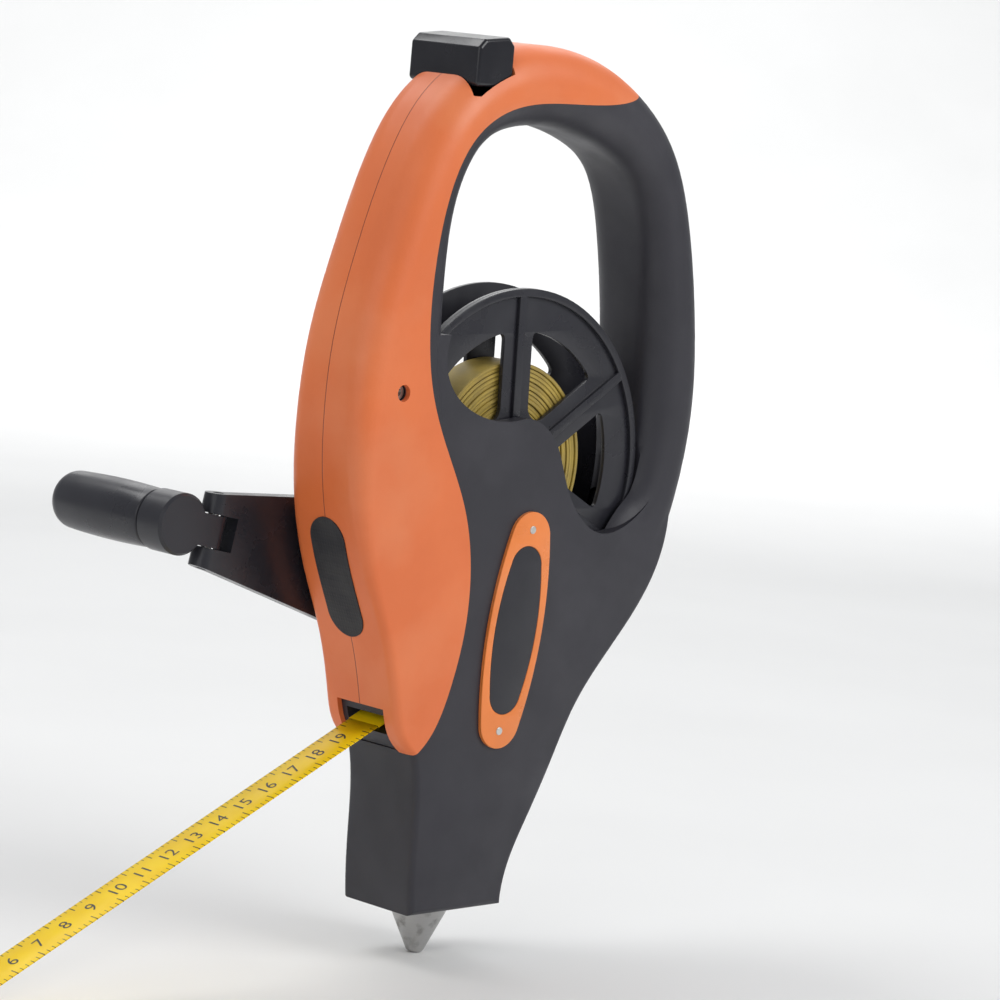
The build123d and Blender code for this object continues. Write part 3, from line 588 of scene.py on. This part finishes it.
def badge():
    """The orange oval with its plain black inlay, a little below the oval's rim."""
    matrix = standing(badge_at, (1, 0, 0), (0, -1, 0), -badge_lean)
    outer = lens(36.5 * MM, 11.6 * MM, 8.2 * MM, 29.5 * MM)
    inner = lens(26.0 * MM, 9.0 * MM, 6.6 * MM, 20.0 * MM)
    face = lens(25.9 * MM, 8.9 * MM, 6.5 * MM, 19.95 * MM)
    floor_level = badge_wall - inlay_depth
    plates = [plate_mesh([outer], 0.0, floor_level + 0.1 * MM, 0.05 * MM),
              plate_mesh([outer, inner], floor_level / 2, badge_wall, 0.25 * MM)]
    plate = joined("badge_oval", plates, matrix, badge_orange, "root")
    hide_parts("badge_plate")
    inlay = joined("badge_face",
                   [plate_mesh([face], floor_level, badge_wall - 0.1 * MM, 0.1 * MM)],
                   matrix, badge_black, "root")
    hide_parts("badge_inlay")


def grip():
    """The turning grip: slightly barrelled, with a domed end."""
    high = grip_low + grip_length
    middle = (grip_low + high - grip_dome) / 2
    swell, edge, cap_wall = 0.5 * MM, 0.8 * MM, 2.0 * MM
    half = (high - grip_dome - grip_low) / 2
    outline = [(grip_bore, grip_low), (grip_radius - edge, grip_low)]
    for step in range(4):
        bend = math.pi / 2 * (step + 1) / 4
        outline.append((grip_radius - edge + edge * math.sin(bend),
                        grip_low + edge - edge * math.cos(bend)))
    for step in range(1, 12):
        height = grip_low + edge + (high - grip_dome - grip_low - edge) * step / 12
        outline.append((grip_radius + swell * (1 - ((height - middle) / half) ** 2), height))
    for step in range(13):
        bend = math.pi / 2 * step / 12
        outline.append((grip_radius * math.cos(bend) ** 0.7,
                        high - grip_dome + grip_dome * math.sin(bend)))
    outline[-1] = (0.0, high)
    inside = high - cap_wall
    profile = [(0.0, inside), (grip_bore + 0.75 * MM, inside), (grip_bore, inside - 3.6 * MM)]
    profile += outline
    steps = 64
    solid = bmesh.new()
    rings = []
    for radius, height in profile:
        if radius < 1e-6:
            rings.append([solid.verts.new((0, height, 0))])
        else:
            rings.append([solid.verts.new((radius * math.cos(2 * math.pi * step / steps), height,
                                           radius * math.sin(2 * math.pi * step / steps)))
                          for step in range(steps)])
    for first, second in zip(rings[:-1], rings[1:]):
        for step in range(steps):
            after = (step + 1) % steps
            corners = [first[step % len(first)], first[after % len(first)],
                       second[after % len(second)], second[step % len(second)]]
            solid.faces.new(list(dict.fromkeys(corners)))
    bmesh.ops.recalc_face_normals(solid, faces=solid.faces)
    lean = Matrix.Rotation(crank_lean, 4, "Y")
    solid.transform(Matrix.Translation(crank_at) @ lean @ Matrix.Translation((-crank_throw, 0, 0)))
    piece = finished("turning_grip", solid, black_satin, "grip")
    shading = piece.modifiers.new("smooth", "NODES")
    shading.node_group = smooth_group
    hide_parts("crank_grip")


def route_points():
    """Points read from the NURBS line through the tape's route."""
    curve = bpy.data.curves.new("tape_line", "CURVE")
    curve.dimensions = "3D"
    curve.resolution_u = 24
    spline = curve.splines.new("NURBS")
    route = (mouth, run_point, touch, tail)
    spline.points.add(len(route) - 1)
    for point, at in zip(spline.points, route):
        point.co = (*at, 1.0)
    spline.order_u = 3
    spline.use_endpoint_u = True
    line = mesh_of(curve)
    points = [vertex.co.copy() for vertex in line.vertices]
    bpy.data.meshes.remove(line)
    return points


def directions(points):
    """The line's direction at each of its points."""
    found = []
    for index in range(len(points)):
        before, after = points[max(index - 1, 0)], points[min(index + 1, len(points) - 1)]
        found.append((after - before).normalized())
    return found


def from_end(points):
    """Each point's distance from the tape's end, along the line."""
    lengths = [0.0]
    for before, after in zip(points[:-1], points[1:]):
        lengths.append(lengths[-1] + (after - before).length)
    return [lengths[-1] - length for length in lengths]


def tape_strip(points):
    """The free tape, a thin strip with slightly raised, rounded edges."""
    half, lift = tape_width / 2, tape_thick / 2
    rim = 0.35 * MM
    section = [(-half, 0.0), (-half + rim, lift), (0.0, lift), (half - rim, lift), (half, 0.0),
               (half - rim, -lift), (0.0, -lift), (-half + rim, -lift)]
    strip = bmesh.new()
    scale = strip.loops.layers.uv.new("scale")
    rings = []
    far = {}
    for point, along, left in zip(points, directions(points), from_end(points)):
        up = along.cross(Vector((0, 1, 0)))
        up = up if up.z > 0 else -up
        ring = [strip.verts.new(point + Vector((0, side, 0)) + up * rise) for side, rise in section]
        for vertex in ring:
            far[vertex] = left
        rings.append(ring)
    for first, second in zip(rings[:-1], rings[1:]):
        for index in range(len(section)):
            after = (index + 1) % len(section)
            strip.faces.new((first[index], first[after], second[after], second[index]))
    strip.faces.new(rings[0])
    strip.faces.new(reversed(rings[-1]))
    for face in strip.faces:
        face.smooth = len(face.verts) == 4
        for loop in face.loops:
            loop[scale].uv = (far[loop.vert], loop.vert.co.y)
    bmesh.ops.recalc_face_normals(strip, faces=strip.faces)
    piece = finished("tape_strip", strip, tape_yellow, "root")
    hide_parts("tape_blade")
    return piece


def scale_numbers(points):
    """Plain centimetre numbers on the tape, counted from its end."""
    digit = 6.2 * MM
    film = 0.04 * MM
    ways, lefts = directions(points), from_end(points)
    numbers = bmesh.new()
    for centimetre in range(1, int(lefts[0] / (10 * MM))):
        distance = centimetre * 10 * MM + 3.4 * MM
        for index in range(len(points) - 1):
            if lefts[index] >= distance >= lefts[index + 1]:
                break
        share = (lefts[index] - distance) / (lefts[index] - lefts[index + 1])
        at = points[index].lerp(points[index + 1], share)
        right = -ways[index].lerp(ways[index + 1], share).normalized()
        up = Vector((0, -1, 0)).cross(right)
        sign = 1.0 if up.z > 0 else -1.0
        text = bpy.data.curves.new("number", "FONT")
        text.body = str(centimetre)
        text.size = digit
        text.align_x = "CENTER"
        text.align_y = "CENTER"
        text.resolution_u = 4
        flat = mesh_of(text)
        top = (up * sign).normalized()
        across = top.cross(right)
        turn = Matrix((right, across, top)).transposed().to_4x4()
        flat.transform(Matrix.Translation(at + top * (tape_thick / 2 + film)) @ turn)
        numbers.from_mesh(flat)
        bpy.data.meshes.remove(flat)
    return finished("scale_numbers", numbers, print_ink, "root")


def wound_tape():
    """The wound tape: separate turns whose edges don't quite line up."""
    pitch, gap = 1.25 * MM, 0.16 * MM
    steps = 144
    winding = bmesh.new()
    turns = round((coil_outer - coil_inner) / pitch)
    for turn in range(turns):
        inner = coil_inner + turn * pitch
        outer = inner + pitch - gap
        shift = 0.28 * MM * math.sin(turn * 2.4)
        half = tape_width / 2 - 0.3 * MM
        corner = 0.12 * MM
        section = [(inner + corner, half), (outer - corner, half), (outer, half - corner),
                   (outer, -half + corner), (outer - corner, -half), (inner + corner, -half),
                   (inner, -half + corner), (inner, half - corner)]
        rings = []
        for step in range(steps):
            angle = 2 * math.pi * step / steps
            wobble = shift + 0.05 * MM * math.sin(angle * 3 + turn)
            out = Vector((math.cos(angle), 0, math.sin(angle)))
            rings.append([winding.verts.new(spool_at + out * r + Vector((0, y + wobble, 0)))
                          for r, y in section])
        for step in range(steps):
            first, second = rings[step], rings[(step + 1) % steps]
            for index in range(len(section)):
                after = (index + 1) % len(section)
                winding.faces.new((first[index], first[after], second[after], second[index]))
    bmesh.ops.recalc_face_normals(winding, faces=winding.faces)
    piece = finished("wound_tape", winding, coil_edges, "spool")
    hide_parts("tape_coil")
    return piece


line = route_points()
strip = tape_strip(line)
numbers = scale_numbers(line)
wound_tape()
spool_flange("flange_near", "spool_flange_near", -1, 1, spoke_turn, True)
spool_flange("flange_far", "spool_flange_far", 1, -1, math.pi - spoke_turn, False)
badge()
grip()


# ---------------------------------------------------------------- floor, light and camera

def backdrop():
    """A pale floor that curves up behind the object."""
    reach, rise, bend = 3.0, 2.5, 1.0
    profile = [(-reach, 0.0), (reach - bend, 0.0)]
    steps = 16
    for step in range(1, steps + 1):
        angle = math.pi / 2 * step / steps
        profile.append((reach - bend + bend * math.sin(angle), bend - bend * math.cos(angle)))
    profile.append((reach, rise))
    sheet = bmesh.new()
    away = Vector((0.70, 0.71, 0.0)).normalized()
    side = Vector((away.y, -away.x, 0.0))
    rows = []
    for distance, height in profile:
        middle = away * distance + Vector((0, 0, ground_z + height))
        rows.append([sheet.verts.new(middle + side * s) for s in (-4.0, 4.0)])
    for first, second in zip(rows[:-1], rows[1:]):
        sheet.faces.new((first[0], first[1], second[1], second[0]))
    mesh = bpy.data.meshes.new("floor")
    sheet.to_mesh(mesh)
    sheet.free()
    for polygon in mesh.polygons:
        polygon.use_smooth = True
    mesh.materials.append(floor_paint())
    floor = bpy.data.objects.new("floor", mesh)
    bpy.context.scene.collection.objects.link(floor)


def lamp(name, direction, distance, size, power, target):
    """A square soft lamp that faces target from a direction."""
    light = bpy.data.lights.new(name, "AREA")
    light.shape = "SQUARE"
    light.size = size
    light.energy = power
    holder = bpy.data.objects.new(name, light)
    holder.location = target + Vector(direction).normalized() * distance
    holder.rotation_euler = (target - holder.location).to_track_quat("-Z", "Y").to_euler()
    bpy.context.scene.collection.objects.link(holder)


def studio_light():
    target = Vector((0.0, 0.0, 0.12))
    lamp("key", (0.45, -1.0, 0.75), 1.3, 0.8, 8.5, target)
    lamp("fill", (-1.0, -0.35, 0.45), 1.4, 1.0, 3.0, target)
    lamp("top", (-0.25, 0.55, 1.0), 1.1, 0.6, 4.5, target)
    behind = Vector((2.0, 2.0, 0.9))
    lamp("wash", (-1.0, -1.0, 0.5), 1.5, 1.2, 20.0, behind)
    lamp("far_floor", (0.25, 0.25, 1.0), 1.3, 1.4, 9.0, Vector((0.72, 0.72, ground_z)))
    world = bpy.data.worlds.new("studio")
    world.use_nodes = True
    world.node_tree.nodes["Background"].inputs["Color"].default_value = (0.93, 0.95, 1.0, 1.0)
    world.node_tree.nodes["Background"].inputs["Strength"].default_value = 0.42
    bpy.context.scene.world = world


def camera():
    """A long lens from the front left, a little above level, leaning a few degrees."""
    right = Vector((0.699, -0.709, 0.090)).normalized()
    up = Vector((0.030, 0.150, 0.988))
    up = (up - right * up.dot(right)).normalized()
    back = right.cross(up)
    looked_at = Vector((3.6, -15.5, 126.3)) * MM
    distance, picture_height = 1.2, 0.300
    data = bpy.data.cameras.new("camera")
    data.sensor_width = 36.0
    data.lens = data.sensor_width * distance / picture_height
    data.clip_start, data.clip_end = 0.05, 50.0
    holder = bpy.data.objects.new("camera", data)
    holder.matrix_world = Matrix.Translation(looked_at + back * distance) @ Matrix(
        (right, up, back)).transposed().to_4x4()
    bpy.context.scene.collection.objects.link(holder)
    bpy.context.scene.camera = holder


backdrop()
studio_light()
camera()
bpy.context.scene.view_settings.view_transform = "Standard"
